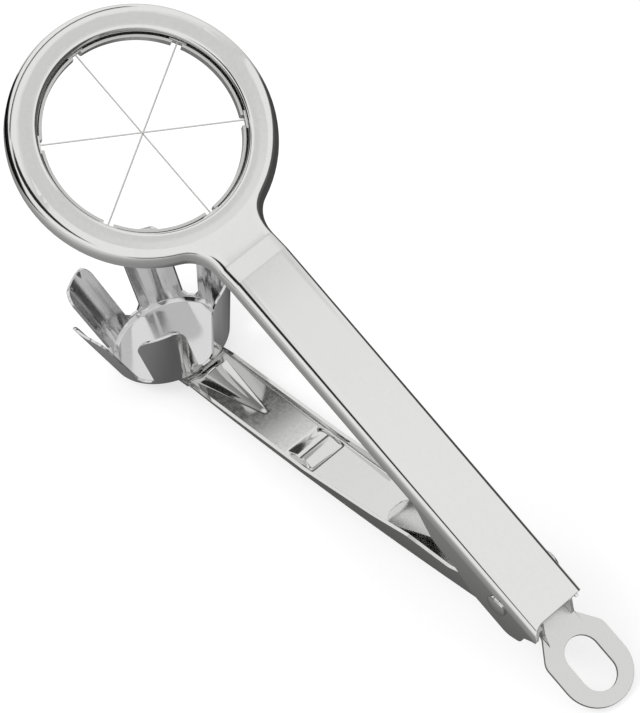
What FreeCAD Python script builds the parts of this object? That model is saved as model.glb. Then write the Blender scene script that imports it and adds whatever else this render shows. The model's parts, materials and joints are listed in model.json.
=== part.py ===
import FreeCAD, Part
import math
import os
from FreeCAD import Placement, Rotation, Vector

# Egg wedge slicer: two pressed stainless arms on one hinge pin. The upper arm ends in a ring
# strung with three wires, the lower arm carries a six-petal cup, and a flat tab with a hanging
# slot slides out of the hinge end. Lengths are in millimetres, angles in degrees.
#
# Each arm is drawn in its own frame: the hinge axis is Y through the origin, X runs along the
# arm towards the tab and Z is square to the arm's top. The arms are then set open about the
# hinge, and the whole object stands level on the cup end and the tip of the tab.

SIZES = (
    ("open_angle", 35.66),
    ("closed_angle", -4.0),
    # Upper arm
    ("upper_gauge", 1.0),
    ("ring_distance", 143.0),
    ("rim_radius", 26.0),
    ("ring_radius", 33.8),
    ("ring_roll", 3.3),
    ("ring_top", 5.2),
    ("ring_foot", 0.2),
    ("rim_drop", 1.3),
    ("neck_radius", 8.0),
    ("handle_half_width", 8.8),
    ("handle_top", 6.0),
    ("handle_roll", 3.2),
    ("handle_foot", 1.3),
    ("joggle_start", -104.0),
    ("joggle_end", -99.0),
    ("joggle_bend", 4.0),
    ("cheek_start", -31.0),
    ("cheek_end", -22.0),
    ("cheek_foot", -5.3),
    ("ear_foot", -8.6),
    ("ear_end", 10.3),
    ("lug_notch", -1.0),
    ("lug_foot", 1.8),
    ("lug_end", 13.0),
    ("lug_top", 4.0),
    ("top_end", 10.2),
    # Wires and their carrier
    ("wire_radius", 0.19),
    ("wire_level", 2.8),
    ("wire_step", 0.4),
    ("carrier_inset", 1.2),
    ("carrier_gauge", 0.8),
    ("carrier_foot", 0.3),
    ("carrier_top", 3.2),
    ("notch_half_width", 1.3),
    ("anchor_gauge", 1.0),
    ("anchor_height", 1.1),
    ("anchor_half_length", 2.3),
    # Lower arm
    ("lower_gauge", 1.0),
    ("lower_half_width", 7.5),
    ("lower_roll", 1.4),
    ("pad_bend", -128.0),
    ("pad_length", 27.0),
    ("pad_corner", 2.5),
    ("belly_near_cup", -9.9),
    ("belly_middle", -11.4),
    ("belly_near_pin", -8.4),
    ("brim_low", -8.2),
    ("brim_high", -2.4),
    ("brim_foot", -78.0),
    ("brim_slope", -50.0),
    ("brim_slope_drop", 2.7),
    ("brim_knee", -36.0),
    ("brim_shoulder", -20.0),
    ("ear_radius", 3.9),
    ("heel_length", 5.0),
    ("heel_end", 6.8),
    ("heel_foot", -5.5),
    ("rib_place", -82.8),
    ("rib_height", 1.2),
    ("rib_half_width", 4.0),
    ("rib_half_length", 5.8),
    ("rib_ramp", 1.4),
    ("bead_point", -103.0),
    ("bead_length", 21.0),
    ("bead_half_width", 4.2),
    ("bead_height", 1.3),
    # Cup
    ("cup_gauge", 0.8),
    ("floor_radius", 15.5),
    ("floor_bend", 2.0),
    ("petal_tip_radius", 22.2),
    ("petal_height", 21.4),
    ("petal_half_width", 6.2),
    ("petal_corner", 4.6),
    ("slot_half_width", 2.3),
    ("slot_foot", 1.2),
    ("cup_rivet_radius", 2.0),
    ("cup_rivet_head", 3.4),
    ("cup_rivet_rise", 0.6),
    # Hinge pin
    ("pin_radius", 2.0),
    ("pin_fit", 0.05),
    ("pin_head_radius", 3.1),
    ("pin_head_rise", 1.1),
    # Leaf spring
    ("leaf_gauge", 0.6),
    ("leaf_eye_gap", 0.3),
    ("leaf_half_width", 3.8),
    ("leaf_tip_half_width", 5.0),
    ("leaf_top_reach", 40.0),
    ("leaf_foot_place", -48.5),
    # Sliding tab
    ("tab_gauge", 1.2),
    ("tab_level", -0.5),
    ("tab_inner_end", 8.6),
    ("tab_neck_half_width", 5.3),
    ("tab_neck_end", 13.0),
    ("tab_shoulder", 19.0),
    ("tab_half_width", 9.5),
    ("tab_straight_end", 27.0),
    ("tab_neck_fillet", 2.4),
    ("tab_shoulder_round", 4.0),
    ("hang_slot_start", 22.2),
    ("hang_slot_end", 28.1),
    ("hang_slot_radius", 4.65),
    ("tab_stroke", 5.0),
    ("wing_gauge", 1.0),
    ("wing_inner_end", -4.6),
    ("wing_end", 10.4),
    ("wing_gap", 0.3),
)

doc = FreeCAD.newDocument("egg_wedge_slicer")
sheet = doc.addObject("Spreadsheet::Sheet", "sizes")
for row, (alias, number) in enumerate(SIZES, start=1):
    sheet.set(f"A{row}", alias)
    sheet.set(f"B{row}", str(number))
    sheet.setAlias(f"B{row}", alias)
doc.recompute()


def size(alias):
    """One driving dimension as a plain number."""
    return float(sheet.get(alias))



def outline(corners, closed=True):
    """Outline through corners (u, v, radius), or (u, v, 0, (mu, mv)) for an arc that leaves
    the corner through a middle point. A radius rounds its corner with a tangent arc, and a
    negative one cuts the corner straight, along the tangent at the middle of that arc."""
    count = len(corners)
    entries, exits, arcs = [], [], []
    for index, corner in enumerate(corners):
        here = Vector(corner[0], corner[1], 0)
        radius = corner[2]
        if radius == 0:
            entries.append(here)
            exits.append(here)
            arcs.append(None)
            continue
        before = corners[index - 1]
        after = corners[(index + 1) % count]
        back = (Vector(before[0], before[1], 0) - here).normalize()
        ahead = (Vector(after[0], after[1], 0) - here).normalize()
        half = back.getAngle(ahead) / 2
        reach = abs(radius) / math.tan(half)
        if radius < 0:
            reach += radius * math.tan((math.pi / 2 - half) / 2)
        middle = (back + ahead).normalize() * (radius / math.sin(half) - radius)
        entries.append(here + back * reach)
        exits.append(here + ahead * reach)
        arcs.append(here + middle if radius > 0 else None)
    drawn = []
    for index in range(count):
        if arcs[index] is not None:
            drawn.append(Part.Arc(entries[index], arcs[index], exits[index]))
        elif entries[index] != exits[index]:
            drawn.append(Part.LineSegment(entries[index], exits[index]))
        if index == count - 1 and not closed:
            break
        start = exits[index]
        end = entries[(index + 1) % count]
        if (end - start).Length < 1e-6:
            continue
        if len(corners[index]) > 3:
            through = Vector(corners[index][3][0], corners[index][3][1], 0)
            drawn.append(Part.Arc(start, through, end))
        else:
            drawn.append(Part.LineSegment(start, end))
    return drawn


def new_body(name):
    """An empty body in the arm's own frame."""
    return doc.addObject("PartDesign::Body", name)


def draw(body, name, role, curves, offset=0.0):
    """Sketch on one of the body's own planes, moved along the plane's normal."""
    sketch = body.newObject("Sketcher::SketchObject", name)
    for feature in body.Origin.OriginFeatures:
        if feature.Role == role:
            sketch.AttachmentSupport = (feature, "")
    sketch.MapMode = "FlatFace"
    sketch.AttachmentOffset = Placement(Vector(0, 0, offset), Rotation())
    for curve in curves:
        sketch.addGeometry(curve, False)
    return sketch


def pad(body, name, sketch, length, symmetric=False):
    """Material from the sketch along its plane's normal, or to both sides."""
    feature = body.newObject("PartDesign::Pad", name)
    feature.Profile = sketch
    feature.Length = length
    if symmetric:
        feature.SideType = "Symmetric"
    return feature


def pocket(body, name, sketch, length, symmetric=False, reverse=False):
    """Material cut away along the sketch's normal, or to both sides."""
    feature = body.newObject("PartDesign::Pocket", name)
    feature.Profile = sketch
    feature.Length = length
    feature.Reversed = reverse
    if symmetric:
        feature.SideType = "Symmetric"
    return feature


def turned(body, name, sketch, kind="PartDesign::Revolution", axis="V_Axis"):
    """A full turn of the sketch about its own vertical or horizontal axis."""
    feature = body.newObject(kind, name)
    feature.Profile = sketch
    feature.ReferenceAxis = (sketch, [axis])
    feature.Angle = 360
    return feature


def drive(target, prop, expression):
    """Binds one property to the sheet."""
    target.setExpression(prop, expression)


def join(kind, name, *shapes):
    """A boolean of whole objects: Part::Cut takes two, the others any number."""
    feature = doc.addObject(kind, name)
    if kind == "Part::Cut":
        feature.Base, feature.Tool = shapes
    else:
        feature.Shapes = list(shapes)
    return feature



HEAD_FLAT = 0.5


def rivet_head(radius, rise):
    """Points (distance from the axis, height) up a rivet's head, from its edge to its flat top."""
    return [(radius, 0), (HEAD_FLAT * radius, rise), (0, rise)]


# Placements of the two arms and of the cup's seat


def arm_point(x, z):
    """A point of the upper arm's drawing in the lower arm's drawing, at rest."""
    turn = math.radians(size("open_angle"))
    return (
        x * math.cos(turn) + z * math.sin(turn),
        z * math.cos(turn) - x * math.sin(turn),
    )


SEAT_SLOPE = math.radians(-size("closed_angle"))
SEAT_ALONG = (math.cos(SEAT_SLOPE), math.sin(SEAT_SLOPE))


def seat_point(distance, lift=0.0):
    """Point on the pad's underside, a distance from the bend towards its free end."""
    x = size("pad_bend") - distance * SEAT_ALONG[0] - lift * SEAT_ALONG[1]
    z = size("belly_near_cup") - distance * SEAT_ALONG[1] + lift * SEAT_ALONG[0]
    return x, z


BEND_REACH = size("pad_bend") * SEAT_ALONG[0] + size("belly_near_cup") * SEAT_ALONG[1]
CUP_DISTANCE = size("ring_distance") + BEND_REACH
FOOT_DISTANCE = (CUP_DISTANCE + size("pad_length")) / 2

heel_x, heel_z = seat_point(size("pad_length"))
tip_x, tip_z = arm_point(
    size("tab_straight_end") + size("tab_half_width"),
    size("tab_level") - size("tab_gauge"),
)
STAND = math.degrees(math.atan2(heel_z - tip_z, tip_x - heel_x))
foot_x, foot_z = seat_point(FOOT_DISTANCE)

lower_turn = Rotation(Vector(0, 1, 0), -STAND)
LOWER = Placement(lower_turn.multVec(Vector(-foot_x, 0, -foot_z)), lower_turn)
UPPER = LOWER.multiply(Placement(Vector(), Rotation(Vector(0, 1, 0), size("open_angle"))))
seat_x, seat_z = seat_point(CUP_DISTANCE, size("lower_gauge") + size("cup_gauge"))
CUP = LOWER.multiply(
    Placement(Vector(seat_x, 0, seat_z), Rotation(Vector(0, 1, 0), size("closed_angle")))
)
RING = UPPER.multiply(Placement(Vector(-size("ring_distance"), 0, 0), Rotation()))


# Upper arm: a pressed channel that opens into a rolled ring

PRISM_FOOT = -14.0
PRISM_TOP = 9.0
FAR = 60.0


def upper_plan(inset, end):
    """Ring, concave necks and parallel handle sides, drawn in by the inset."""
    ring = size("ring_radius") - inset
    neck = size("neck_radius") + inset
    half = size("handle_half_width") - inset
    centre = -size("ring_distance")
    side = half + neck
    neck_x = centre + math.sqrt((ring + neck) ** 2 - side**2)
    angle = math.atan2(side, neck_x - centre)
    touch = (centre + ring * math.cos(angle), ring * math.sin(angle))
    middle = (angle + math.pi + 1.5 * math.pi) / 2
    bow = (neck_x + neck * math.cos(middle), side + neck * math.sin(middle))
    return outline(
        [
            (touch[0], touch[1], 0, (centre - ring, 0)),
            (touch[0], -touch[1], 0, (bow[0], -bow[1])),
            (neck_x, -half, 0),
            (end, -half, 0),
            (end, half, 0),
            (neck_x, half, 0, bow),
        ]
    )


def upper_form(name, inset):
    """Block with the arm's own plan and top line, drawn in by the inset, and the edges that
    run round its top face."""
    body = new_body(name)
    end = size("lug_end") + 1 + inset
    plan = draw(body, name + "_plan", "XY_Plane", upper_plan(inset, end), PRISM_FOOT)
    pad(body, name + "_block", plan, PRISM_TOP - PRISM_FOOT)
    low = size("ring_top") - inset
    high = size("handle_top") - inset
    profile = draw(
        body,
        name + "_top",
        "XZ_Plane",
        outline(
            [
                (-4 * FAR, low, 0),
                (size("joggle_start"), low, size("joggle_bend")),
                (size("joggle_end"), high, size("joggle_bend")),
                (FAR, high, 0),
                (FAR, FAR, 0),
                (-4 * FAR, FAR, 0),
            ]
        ),
    )
    pocket(body, name + "_skin", profile, 2 * FAR, symmetric=True)
    doc.recompute()
    edges = []
    for number, edge in enumerate(body.Shape.Edges, start=1):
        middle = edge.valueAt((edge.FirstParameter + edge.LastParameter) / 2)
        on_top = min(vertex.Z for vertex in edge.Vertexes) > low - 0.01
        if on_top and abs(middle.y) > size("handle_half_width") - inset - 0.01:
            edges.append((number, edge))
        elif on_top and middle.x < -size("ring_distance"):
            edges.append((number, edge))
    return body, edges


def roll_at(point):
    """Radius of the arm's outer roll: full round the ring, tighter along the handle."""
    if point.x < -size("ring_distance") + size("ring_radius") - size("ring_roll"):
        return size("ring_roll")
    return size("handle_roll")


def upper_outside():
    """The arm's outer skin: the rolls ease from the ring's radius to the handle's at the necks."""
    body, edges = upper_form("upper_skin", 0)
    rolled = doc.addObject("Part::Fillet", "upper_rolled")
    rolled.Base = body
    rolled.Edges = [
        (number, roll_at(edge.valueAt(edge.FirstParameter)), roll_at(edge.valueAt(edge.LastParameter)))
        for number, edge in edges
    ]
    return rolled


def upper_inside():
    """The arm's hollow, one gauge inside the skin, with plain bevels where the skin is rolled."""
    body, edges = upper_form("upper_hollow", size("upper_gauge"))
    bevelled = doc.addObject("Part::Chamfer", "upper_bevelled")
    bevelled.Base = body
    bevel = size("upper_gauge")
    bevelled.Edges = [(number, bevel, bevel) for number, edge in edges]
    return bevelled


LIP_STEPS = 3


def rim_tool(name, inset, relief):
    """Turned cutter for the ring's hole, with the lip's own roll in short straights. The
    relief opens the hole below the lip's edge."""
    lip = size("ring_roll")
    drop = size("ring_top") - size("rim_drop")
    lip_centre = size("ring_top") - lip
    rise = drop - lip_centre
    middle_r = size("rim_radius") + math.sqrt(lip**2 - rise**2)
    bend = lip - inset
    edge_r = middle_r - math.sqrt(bend**2 - rise**2)
    lip_end = math.acos(rise / bend)
    corners = [(0, -FAR, 0), (edge_r + relief, -FAR, 0)]
    if relief:
        corners.append((edge_r + relief, drop, 0))
    for step in range(LIP_STEPS, -1, -1):
        lean = lip_end * step / LIP_STEPS
        corners.append((middle_r - bend * math.sin(lean), lip_centre + bend * math.cos(lean), 0))
    corners += [(middle_r, FAR, 0), (0, FAR, 0)]
    body = new_body(name)
    sketch = draw(body, name + "_profile", "XZ_Plane", outline(corners))
    turned(body, name + "_turn", sketch)
    body.Placement = Placement(Vector(-size("ring_distance"), 0, 0), Rotation())
    return body


def slab(name, corners, half_width):
    """Side outline drawn on the XZ plane and thickened to both sides."""
    body = new_body(name)
    sketch = draw(body, name + "_side", "XZ_Plane", outline(corners))
    pad(body, name + "_block", sketch, 2 * half_width, symmetric=True)
    return body


def cross_pin(name, radius, half_length, x=0.0, z=0.0):
    """Cylinder across the arm, along Y."""
    pin = doc.addObject("Part::Cylinder", name)
    pin.Radius = radius
    pin.Height = 2 * half_length
    pin.Placement = Placement(Vector(x, half_length, z), Rotation(Vector(1, 0, 0), 90))
    return pin


EAR_STEP = 3.3
LUG_STEP = 0.9

upper_skin = upper_outside()
upper_hollow = upper_inside()
lip_outside = rim_tool("lip_outside", 0, size("upper_gauge") + 0.6)
lip_inside = rim_tool("lip_inside", size("upper_gauge"), 0)
upper_cavity = join("Part::Cut", "upper_cavity", upper_hollow, lip_inside)
upper_pierced = join("Part::Cut", "upper_pierced", upper_skin, lip_outside)
upper_shell = join("Part::Cut", "upper_shell", upper_pierced, upper_cavity)
upper_side = slab(
    "upper_side",
    [
        (-4 * FAR, size("ring_foot"), 0),
        (size("joggle_start") - EAR_STEP, size("ring_foot"), 6),
        (size("joggle_end"), size("handle_foot"), 6),
        (size("cheek_start"), size("handle_foot"), 5),
        (size("cheek_end"), size("cheek_foot"), 5),
        (-1.4 * size("ear_end"), size("cheek_foot"), 5),
        (-0.6 * size("ear_end"), size("ear_foot"), 5),
        (0.65 * size("ear_end"), size("ear_foot"), 4),
        (size("ear_end"), size("ear_foot") + EAR_STEP, 3),
        (size("ear_end"), size("lug_notch"), 0),
        (size("lug_end") - LUG_STEP, size("lug_foot"), 0),
        (size("lug_end"), size("lug_foot") + LUG_STEP, 0),
        (size("lug_end"), size("lug_top"), 0),
        (size("ear_end"), size("handle_top"), 0),
        (size("ear_end"), FAR, 0),
        (-4 * FAR, FAR, 0),
    ],
    FAR,
)
upper_trimmed = join("Part::MultiCommon", "upper_trimmed", upper_shell, upper_side)
top_notch = doc.addObject("Part::Box", "top_notch")
top_notch.Length = FAR
top_notch.Width = FAR
top_notch.Height = FAR
drive(top_notch, "Placement.Base.x", "sizes.top_end")
drive(top_notch, "Placement.Base.y", "sizes.handle_roll - sizes.handle_half_width")
upper_notched = join("Part::Cut", "upper_notched", upper_trimmed, top_notch)
upper_eye = cross_pin("upper_eye", size("pin_radius"), FAR)
drive(upper_eye, "Radius", "sizes.pin_radius")
upper_arm = join("Part::Cut", "upper_arm", upper_notched, upper_eye)
upper_arm.Placement = UPPER


# Wire carrier: a rolled angle that rests in the ring, its upright slit open for each wire end

carrier_in = size("rim_radius") - size("carrier_inset")
carrier_out = carrier_in + size("carrier_gauge")
seat_radius = size("ring_radius") - size("upper_gauge")
flange_top = size("carrier_foot") + size("carrier_gauge")
CARRIER_BEND = 1.1
NOTCH_INTO_FLANGE = 0.4

wire_carrier = new_body("wire_carrier")
carrier_profile = draw(
    wire_carrier,
    "carrier_profile",
    "XZ_Plane",
    outline(
        [
            (carrier_in, size("carrier_top"), 0),
            (carrier_in, size("carrier_foot"), -CARRIER_BEND),
            (seat_radius, size("carrier_foot"), 0),
            (seat_radius, flange_top, 0),
            (carrier_out, flange_top, 0),
            (carrier_out, size("carrier_top"), 0),
        ]
    ),
)
turned(wire_carrier, "carrier_turn", carrier_profile)
notch = draw(
    wire_carrier,
    "notch_profile",
    "YZ_Plane",
    outline(
        [
            (-size("notch_half_width"), -FAR, 0),
            (size("notch_half_width"), -FAR, 0),
            (size("notch_half_width"), FAR, 0),
            (-size("notch_half_width"), FAR, 0),
        ]
    ),
)
notch_reach = carrier_out + NOTCH_INTO_FLANGE
notch_cut = pocket(wire_carrier, "notch_cut", notch, notch_reach, reverse=True)
WIRE_ENDS = 6


def around(body, name, cut, sketch, count):
    """Repeats a cut about the body's vertical axis."""
    ring = body.newObject("PartDesign::PolarPattern", name)
    ring.Originals = [cut]
    ring.Axis = (sketch, ["V_Axis"])
    ring.Angle = 360
    ring.Occurrences = count
    body.Tip = ring
    return ring


around(wire_carrier, "notches", notch_cut, notch, WIRE_ENDS)
wire_carrier.Placement = RING


# Three wires crossing over the centre. Each end is crimped into a bar that bears on the back
# of the carrier, across its notch.

WIRE_TURNS = (("wire_axial", 0, -1), ("wire_near", -60, 0), ("wire_far", 60, 1))
anchor_seat = math.sqrt(carrier_out**2 - size("notch_half_width") ** 2)
anchors = []


def turned_out(shape, start, across, level, angle):
    """Sets a shape at a distance from the ring's centre and turns it about the ring's axis."""
    aim = Rotation(Vector(0, 0, 1), angle)
    shape.Placement = Placement(aim.multVec(Vector(start, across, level)), aim)
    return shape


for label, angle, rank in WIRE_TURNS:
    level = size("wire_level") + rank * size("wire_step")
    wire = doc.addObject("Part::Cylinder", label)
    wire.Height = 2 * anchor_seat
    drive(wire, "Radius", "sizes.wire_radius")
    turned_out(wire, -anchor_seat, 0, level, angle)
    along_x = Placement(Vector(), Rotation(Vector(0, 1, 0), 90))
    wire.Placement = RING.multiply(wire.Placement).multiply(along_x)
    for side in (0, 180):
        anchor = doc.addObject("Part::Box", "anchor")
        drive(anchor, "Length", "sizes.anchor_gauge")
        drive(anchor, "Width", "2 * sizes.anchor_half_length")
        drive(anchor, "Height", "sizes.anchor_height")
        low = level - size("anchor_height") / 2
        turned_out(anchor, anchor_seat, -size("anchor_half_length"), low, angle + side)
        anchors.append(anchor)
wire_anchors = doc.addObject("Part::Compound", "wire_anchors")
wire_anchors.Links = anchors
wire_anchors.Placement = RING


# Lower arm: a shallow open channel with a flat pad under the cup

BRIM_STEP = 4.0
WEB_END = -6.0
PAD_LAP = 1.5
CHANNEL_SWEEP = 30.0


def belly(lift):
    """Underside of the channel as an arc from the pad's bend to the pin end, lifted."""
    return (
        (size("pad_bend"), size("belly_near_cup") + lift),
        (-75.0, size("belly_middle") + lift),
        (-12.0, size("belly_near_pin") + lift),
    )


heel_lean = math.radians(size("open_angle"))
heel_foot = (
    size("ear_radius") * math.sin(heel_lean),
    size("ear_radius") * math.cos(heel_lean),
)
heel_tip = (
    heel_foot[0] + size("heel_length") * math.cos(heel_lean),
    heel_foot[1] - size("heel_length") * math.sin(heel_lean),
)
ear_back = math.radians(130)
ear_start = (size("ear_radius") * math.cos(ear_back), size("ear_radius") * math.sin(ear_back))
ear_top = (0, size("ear_radius"))
under = belly(0)
pad_root = seat_point(0, size("lower_gauge"))

belly_curve = Part.Arc(*[Vector(point[0], point[1], 0) for point in under]).toShape().Curve


ROLL_STEPS = 3


def rolled_corner(side, half, low, roll):
    """Points round one bottom corner of the section, from its wall to its web."""
    turns = [math.pi / 2 * step / ROLL_STEPS for step in range(ROLL_STEPS + 1)]
    return [
        (side * (half - roll + roll * math.cos(turn)), low + roll - roll * math.sin(turn), 0)
        for turn in turns
    ]


def channel_ring(name, inset):
    """U section turned along the belly's arc, drawn in by the inset; open at the top."""
    half = size("lower_half_width") - inset
    radius = belly_curve.Radius - inset
    roll = size("lower_roll") - inset
    body = new_body(name)
    section = draw(
        body,
        name + "_section",
        "YZ_Plane",
        outline(
            rolled_corner(-1, half, -radius, roll)
            + rolled_corner(1, half, -radius, roll)[::-1]
            + [(half, FAR - radius, 0), (-half, FAR - radius, 0)]
        ),
    )
    sweep = turned(body, name + "_turn", section, axis="H_Axis")
    sweep.Angle = CHANNEL_SWEEP
    sweep.Midplane = True
    body.Placement.Base = Vector(belly_curve.Center.x, 0, belly_curve.Center.y)
    return body


lower_side = slab(
    "lower_side",
    [
        (under[0][0], size("belly_middle") - 1, 0),
        (under[2][0], size("belly_middle") - 1, 0),
        (under[2][0] + 2, under[2][1], 0),
        (0, under[2][1] + 0.4, 3),
        (size("heel_end"), size("heel_foot"), 2),
        (heel_tip[0], heel_tip[1], 0.6),
        (heel_foot[0], heel_foot[1], 0, ear_top),
        (ear_start[0], ear_start[1], 0),
        (size("brim_shoulder"), size("brim_high"), 4),
        (size("brim_knee"), size("brim_high"), 8),
        (size("brim_slope"), size("brim_high") - size("brim_slope_drop"), 20),
        (size("brim_foot"), size("brim_low"), 12),
        (pad_root[0] + BRIM_STEP, size("brim_low"), 2),
        (under[0][0], pad_root[1], 0),
    ],
    size("lower_half_width"),
)
drive(doc.lower_side_block, "Length", "2 * sizes.lower_half_width")
lower_skin = join("Part::MultiCommon", "lower_skin", lower_side, channel_ring("skin_ring", 0))
lower_mouth = doc.addObject("Part::Box", "lower_mouth")
lower_mouth.Length = FAR
lower_mouth.Height = FAR
lower_mouth.Placement.Base = Vector(WEB_END, 0, -FAR / 2)
drive(lower_mouth, "Width", "2 * (sizes.lower_half_width - sizes.lower_gauge)")
drive(lower_mouth, "Placement.Base.y", "sizes.lower_gauge - sizes.lower_half_width")
lower_hollow = join(
    "Part::MultiFuse",
    "lower_hollow",
    channel_ring("hollow_ring", size("lower_gauge")),
    lower_mouth,
)
lower_channel = join("Part::Cut", "lower_channel", lower_skin, lower_hollow)
cup_pad = new_body("cup_pad")
pad_plan = draw(
    cup_pad,
    "pad_plan",
    "XY_Plane",
    outline(
        [
            (-size("pad_length"), -size("lower_half_width"), size("pad_corner")),
            (PAD_LAP, -size("lower_half_width"), 0),
            (PAD_LAP, size("lower_half_width"), 0),
            (-size("pad_length"), size("lower_half_width"), size("pad_corner")),
        ]
    ),
)
drive(pad(cup_pad, "pad_sheet", pad_plan, size("lower_gauge")), "Length", "sizes.lower_gauge")
cup_pad.Placement = Placement(
    Vector(under[0][0], 0, under[0][1]), Rotation(Vector(0, 1, 0), size("closed_angle"))
)


def web_height(x):
    """Top of the lower web at a distance from the pin."""
    radius = belly_curve.Radius - size("lower_gauge")
    return belly_curve.Center.y - math.sqrt(radius**2 - (x - belly_curve.Center.x) ** 2)


RIB_SINK = 1.4


def pressed_rib(name, inset):
    """Cross rib: a round bar, most of it below the web, whose ends ramp down into the web."""
    half = size("rib_half_width")
    rise = size("rib_height")
    crown = (half**2 + rise**2) / (2 * rise)
    level = web_height(size("rib_place")) + rise - crown
    slope = math.atan2(rise, size("rib_ramp"))
    straight = size("rib_half_length") - size("rib_ramp") - inset * math.tan(slope / 2)
    bar = cross_pin(name + "_bar", crown - inset, straight, size("rib_place"), level)
    ends = []
    for side in (-1, 1):
        end = doc.addObject("Part::Cone", name + "_end")
        end.Radius1 = crown - inset
        end.Radius2 = crown - inset - RIB_SINK * rise
        end.Height = RIB_SINK * size("rib_ramp")
        end.Placement = Placement(
            Vector(size("rib_place"), side * straight, level),
            Rotation(Vector(1, 0, 0), -side * 90),
        )
        ends.append(end)
    return [bar, *ends]


def pressed_bead(name, inset):
    """Tapered bead: a cone with its point on the web, closed by a steeper cone at its head."""
    half = size("bead_half_width")
    rise = size("bead_height")
    length = size("bead_length")
    ball = (half**2 + rise**2) / (2 * rise)
    tilt = math.atan2(ball - rise, length)
    spread = tilt + math.atan2(rise, length)
    point_x = size("bead_point")
    point_z = web_height(point_x) - BEAD_SINK
    climb = math.atan2(web_height(point_x - length) - web_height(point_x), length)
    start = inset / math.sin(spread)
    blunt = BEAD_BLUNT / math.tan(spread)
    along = length / math.cos(tilt)
    reach = (along - start) * math.cos(spread) ** 2
    aim = Vector(-math.cos(tilt - climb), 0, -math.sin(tilt - climb))
    cone = doc.addObject("Part::Cone", name + "_cone")
    cone.Radius1 = BEAD_BLUNT
    cone.Radius2 = reach * math.tan(spread)
    cone.Height = reach - blunt
    apex = Vector(point_x, 0, point_z)
    cone.Placement = Placement(apex + aim * (start + blunt), Rotation(Vector(0, 0, 1), aim))
    head = doc.addObject("Part::Cone", name + "_head")
    head.Radius1 = cone.Radius2
    head.Height = (along - start) * math.sin(spread)
    head.Radius2 = 0
    head.Placement = Placement(apex + aim * (start + reach), cone.Placement.Rotation)
    return [cone, head]


BEAD_SINK = 0.15
BEAD_BLUNT = 0.12
web_layer = slab(
    "web_layer",
    [
        (under[0][0], under[0][1], 0, under[1]),
        (under[2][0], under[2][1], 0),
        (under[2][0], 0, 0),
        (under[0][0], 0, 0),
    ],
    size("lower_half_width") - size("lower_gauge"),
)
raised_forms = join(
    "Part::MultiFuse",
    "raised_forms",
    *pressed_rib("rib_outside", 0),
    *pressed_bead("bead_outside", 0),
)
raised = join("Part::MultiCommon", "raised", raised_forms, web_layer)
sunk = join(
    "Part::MultiFuse",
    "sunk",
    *pressed_rib("rib_inside", size("lower_gauge")),
    *pressed_bead("bead_inside", size("lower_gauge")),
)
lower_web = join("Part::MultiFuse", "lower_web", lower_channel, cup_pad, raised)
lower_pressed = join("Part::Cut", "lower_pressed", lower_web, sunk)
rivet_hole = doc.addObject("Part::Cylinder", "rivet_hole")
rivet_hole.Height = 2 * BRIM_STEP
drive(rivet_hole, "Radius", "sizes.cup_rivet_radius")
rivet_hole.Placement = Placement(
    Vector(seat_x, 0, seat_z), Rotation(Vector(0, 1, 0), size("closed_angle"))
).multiply(Placement(Vector(0, 0, -BRIM_STEP), Rotation()))
lower_eye = cross_pin("lower_eye", size("pin_radius") + size("pin_fit"), FAR)
drive(lower_eye, "Radius", "sizes.pin_radius + sizes.pin_fit")
lower_bores = join("Part::MultiFuse", "lower_bores", rivet_hole, lower_eye)
lower_arm = join("Part::Cut", "lower_arm", lower_pressed, lower_bores)
lower_arm.Placement = LOWER


# Egg cup: a turned shell slotted into six petals, one slot for each wire end


gauge = size("cup_gauge")
petal_rise = size("petal_height")
petal_flare = size("petal_tip_radius") - size("floor_radius")
petal_lean = math.atan2(petal_flare, petal_rise)
petal_line = [
    (0, 0, 0),
    (size("floor_radius"), 0, -size("floor_bend")),
    (size("petal_tip_radius"), petal_rise, 0),
]
outer_line = [
    (
        size("petal_tip_radius") + gauge * math.cos(petal_lean),
        petal_rise - gauge * math.sin(petal_lean),
        0,
    ),
    (
        size("floor_radius") + gauge * math.tan((math.pi / 2 - petal_lean) / 2),
        -gauge,
        -size("floor_bend") - gauge,
    ),
    (0, -gauge, 0),
]
egg_cup = new_body("egg_cup")
cup_profile = draw(egg_cup, "cup_profile", "XZ_Plane", outline(petal_line + outer_line))
turned(egg_cup, "cup_turn", cup_profile)
petal_reach = math.asin(size("petal_half_width") / size("petal_tip_radius"))
slot_top = size("petal_tip_radius") * math.sin(math.pi / WIRE_ENDS - petal_reach)
slot = draw(
    egg_cup,
    "slot_profile",
    "YZ_Plane",
    outline(
        [
            (-size("slot_half_width"), size("slot_foot"), -size("slot_half_width")),
            (size("slot_half_width"), size("slot_foot"), -size("slot_half_width")),
            (slot_top, size("petal_height"), size("petal_corner")),
            (FAR / 5, size("petal_height"), 0),
            (FAR / 5, FAR, 0),
            (-FAR / 5, FAR, 0),
            (-FAR / 5, size("petal_height"), 0),
            (-slot_top, size("petal_height"), size("petal_corner")),
        ]
    ),
)
slot_cut = pocket(egg_cup, "slot_cut", slot, FAR, reverse=True)
around(egg_cup, "slots", slot_cut, slot, WIRE_ENDS)
cup_bore = draw(
    egg_cup,
    "cup_bore",
    "XY_Plane",
    [Part.Circle(Vector(), Vector(0, 0, 1), size("cup_rivet_radius"))],
    -gauge,
)
pocket(egg_cup, "cup_hole", cup_bore, gauge, reverse=True)
egg_cup.Placement = CUP

rivet_foot = -gauge - size("lower_gauge")
cup_rivet = new_body("cup_rivet")
rivet_profile = draw(
    cup_rivet,
    "rivet_profile",
    "XZ_Plane",
    outline(
        [
            (0, rivet_foot, 0),
            (size("cup_rivet_radius"), rivet_foot, 0),
            (size("cup_rivet_radius"), 0, 0),
        ]
        + [(out, up, 0) for out, up in rivet_head(size("cup_rivet_head"), size("cup_rivet_rise"))]
    ),
)
turned(cup_rivet, "rivet_turn", rivet_profile)
cup_rivet.Placement = CUP


# Hinge pin: a rivet with domed heads against the upper arm's cheeks

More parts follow.
